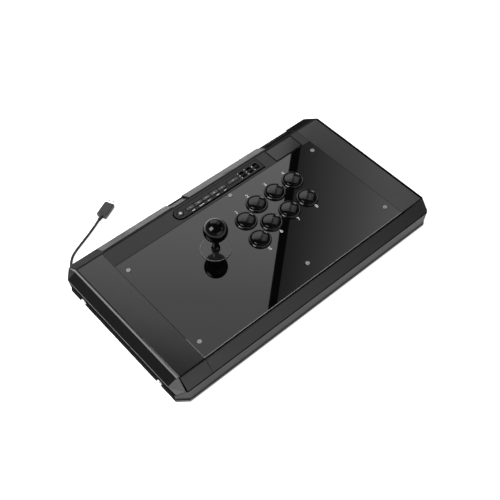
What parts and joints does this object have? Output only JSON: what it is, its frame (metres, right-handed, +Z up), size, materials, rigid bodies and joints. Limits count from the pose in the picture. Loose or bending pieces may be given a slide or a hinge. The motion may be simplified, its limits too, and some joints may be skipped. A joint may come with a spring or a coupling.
{
  "type": "arcade joystick panel",
  "caption": "Low black tabletop controller with a ball-top lever, two rows of round push buttons, a strip of small keys along the back and a cable bay behind a hinged door.",
  "frame": {"origin": "middle of the case's footprint (without the cable) at the underside of the feet", "axes": "+X to the player's right along the panel, +Y away from the player towards the cable bay, +Z up out of the panel"},
  "size_m": [0.489, 0.3509, 0.1053],
  "materials": {
    "matte_shell": "fine matt black moulded plastic",
    "dark_shell": "satin black moulded plastic",
    "key_plastic": "satin dark grey plastic",
    "painted_plate": "black painted sheet steel",
    "clear_sheet": "polished clear sheet over black",
    "smoked_clear": "clear, slightly smoked plastic",
    "gloss_black": "polished black plastic",
    "bright_steel": "zinc-plated steel",
    "inner_plastic": "black moulded plastic",
    "circuit_board": "green solder mask",
    "foot_rubber": "matt black rubber",
    "cable_jacket": "satin black cable jacket"
  },
  "bodies": {
    "panel": {"lower_case": "dark_shell", "bottom_plate": "painted_plate", "foot_front_left": "foot_rubber", "foot_front_right": "foot_rubber", "foot_back_left": "foot_rubber", "foot_back_right": "foot_rubber", "side_cap_left": "matte_shell", "side_cap_right": "matte_shell", "front_rail": "dark_shell", "back_rail": "dark_shell", "face_plate": "painted_plate", "clear_cover": "clear_sheet", "panel_screw_1": "bright_steel", "panel_screw_2": "bright_steel", "panel_screw_3": "bright_steel", "panel_screw_4": "bright_steel", "panel_screw_5": "bright_steel", "panel_screw_6": "bright_steel", "control_pod": "dark_shell", "lever_mount_plate": "bright_steel", "lever_housing": "inner_plastic", "switch_board": "circuit_board", "restrictor_gate": "smoked_clear", "button_housing_1": "gloss_black", "button_housing_2": "gloss_black", "button_housing_3": "gloss_black", "button_housing_4": "gloss_black", "button_housing_5": "gloss_black", "button_housing_6": "gloss_black", "button_housing_7": "gloss_black", "button_housing_8": "gloss_black", "main_board": "circuit_board", "cable_coil": "cable_jacket", "cable": "cable_jacket", "usb_plug": "cable_jacket"},
    "lever_pitch": {"return_spring": "bright_steel"},
    "lever": {"lever_shaft": "gloss_black", "ball_top": "gloss_black"},
    "washer_carrier": {"lower_dust_washer": "smoked_clear"},
    "washer": {"dust_washer": "smoked_clear"},
    "door": {"cable_door": "dark_shell"},
    "button_plunger_1": {"button_plunger_1": "gloss_black"},
    "button_plunger_2": {"button_plunger_2": "gloss_black"},
    "button_plunger_3": {"button_plunger_3": "gloss_black"},
    "button_plunger_4": {"button_plunger_4": "gloss_black"},
    "button_plunger_5": {"button_plunger_5": "gloss_black"},
    "button_plunger_6": {"button_plunger_6": "gloss_black"},
    "button_plunger_7": {"button_plunger_7": "gloss_black"},
    "button_plunger_8": {"button_plunger_8": "gloss_black"},
    "home_button": {"home_button": "gloss_black"},
    "function_key_1": {"function_key_1": "key_plastic"},
    "function_key_2": {"function_key_2": "key_plastic"},
    "function_key_3": {"function_key_3": "key_plastic"},
    "function_key_4": {"function_key_4": "key_plastic"},
    "function_key_5": {"function_key_5": "key_plastic"},
    "mute_key": {"mute_key": "key_plastic"},
    "touchpad": {"touchpad": "gloss_black"},
    "slide_switch_1": {"slide_switch_1": "gloss_black"},
    "slide_switch_2": {"slide_switch_2": "gloss_black"},
    "slide_switch_3": {"slide_switch_3": "gloss_black"}
  },
  "joints": [
    {"name": "lever_tilt_x", "type": "hinge", "parent": "panel", "child": "lever_pitch", "pos_m": [-0.0618, 0.011, 0.036], "axis": [1, 0, 0], "range_deg": [-8, 8], "stiffness_Nm_per_rad": 0.6},
    {"name": "lever_tilt_y", "type": "hinge", "parent": "lever_pitch", "child": "lever", "pos_m": [-0.0618, 0.011, 0.036], "axis": [0, 1, 0], "range_deg": [-8, 8], "stiffness_Nm_per_rad": 0.6},
    {"name": "washer_slide_y", "type": "slide", "parent": "panel", "child": "washer_carrier", "axis": [0, 1, 0], "range_m": [-0.0018, 0.0018]},
    {"name": "washer_slide_x", "type": "slide", "parent": "washer_carrier", "child": "washer", "axis": [1, 0, 0], "range_m": [-0.0018, 0.0018]},
    {"name": "door_hinge", "type": "hinge", "parent": "panel", "child": "door", "pos_m": [0, 0.1291, 0.0097], "axis": [-1, 0, 0], "range_deg": [0, 90]},
    {"name": "button_1_press", "type": "slide", "parent": "panel", "child": "button_plunger_1", "axis": [0, 0, -1], "range_m": [0, 0.0032], "stiffness_N_per_m": 220, "springref_m": -0.003},
    {"name": "button_2_press", "type": "slide", "parent": "panel", "child": "button_plunger_2", "axis": [0, 0, -1], "range_m": [0, 0.0032], "stiffness_N_per_m": 220, "springref_m": -0.003},
    {"name": "button_3_press", "type": "slide", "parent": "panel", "child": "button_plunger_3", "axis": [0, 0, -1], "range_m": [0, 0.0032], "stiffness_N_per_m": 220, "springref_m": -0.003},
    {"name": "button_4_press", "type": "slide", "parent": "panel", "child": "button_plunger_4", "axis": [0, 0, -1], "range_m": [0, 0.0032], "stiffness_N_per_m": 220, "springref_m": -0.003},
    {"name": "button_5_press", "type": "slide", "parent": "panel", "child": "button_plunger_5", "axis": [0, 0, -1], "range_m": [0, 0.0032], "stiffness_N_per_m": 220, "springref_m": -0.003},
    {"name": "button_6_press", "type": "slide", "parent": "panel", "child": "button_plunger_6", "axis": [0, 0, -1], "range_m": [0, 0.0032], "stiffness_N_per_m": 220, "springref_m": -0.003},
    {"name": "button_7_press", "type": "slide", "parent": "panel", "child": "button_plunger_7", "axis": [0, 0, -1], "range_m": [0, 0.0032], "stiffness_N_per_m": 220, "springref_m": -0.003},
    {"name": "button_8_press", "type": "slide", "parent": "panel", "child": "button_plunger_8", "axis": [0, 0, -1], "range_m": [0, 0.0032], "stiffness_N_per_m": 220, "springref_m": -0.003},
    {"name": "home_press", "type": "slide", "parent": "panel", "child": "home_button", "axis": [0, 0, -1], "range_m": [0, 0.0006], "stiffness_N_per_m": 900, "springref_m": -0.0004},
    {"name": "function_key_1_press", "type": "slide", "parent": "panel", "child": "function_key_1", "axis": [0, 0, -1], "range_m": [0, 0.0006], "stiffness_N_per_m": 900, "springref_m": -0.0004},
    {"name": "function_key_2_press", "type": "slide", "parent": "panel", "child": "function_key_2", "axis": [0, 0, -1], "range_m": [0, 0.0006], "stiffness_N_per_m": 900, "springref_m": -0.0004},
    {"name": "function_key_3_press", "type": "slide", "parent": "panel", "child": "function_key_3", "axis": [0, 0, -1], "range_m": [0, 0.0006], "stiffness_N_per_m": 900, "springref_m": -0.0004},
    {"name": "function_key_4_press", "type": "slide", "parent": "panel", "child": "function_key_4", "axis": [0, 0, -1], "range_m": [0, 0.0006], "stiffness_N_per_m": 900, "springref_m": -0.0004},
    {"name": "function_key_5_press", "type": "slide", "parent": "panel", "child": "function_key_5", "axis": [0, 0, -1], "range_m": [0, 0.0006], "stiffness_N_per_m": 900, "springref_m": -0.0004},
    {"name": "mute_press", "type": "slide", "parent": "panel", "child": "mute_key", "axis": [0, 0, -1], "range_m": [0, 0.0006], "stiffness_N_per_m": 900, "springref_m": -0.0004},
    {"name": "touchpad_press", "type": "slide", "parent": "panel", "child": "touchpad", "axis": [0, 0, -1], "range_m": [0, 0.0005], "stiffness_N_per_m": 1600, "springref_m": -0.0004},
    {"name": "slide_switch_1_slide", "type": "slide", "parent": "panel", "child": "slide_switch_1", "axis": [0, 1, 0], "range_m": [-0.0025, 0.0025]},
    {"name": "slide_switch_2_slide", "type": "slide", "parent": "panel", "child": "slide_switch_2", "axis": [0, 1, 0], "range_m": [-0.0025, 0.0025]},
    {"name": "slide_switch_3_slide", "type": "slide", "parent": "panel", "child": "slide_switch_3", "axis": [0, 1, 0], "range_m": [0, 0.0025]}
  ],
  "couplings": [
    {"joint": "washer_slide_y", "follows": "lever_tilt_x", "m_per_rad": -0.012},
    {"joint": "washer_slide_x", "follows": "lever_tilt_y", "m_per_rad": 0.012}
  ]
}
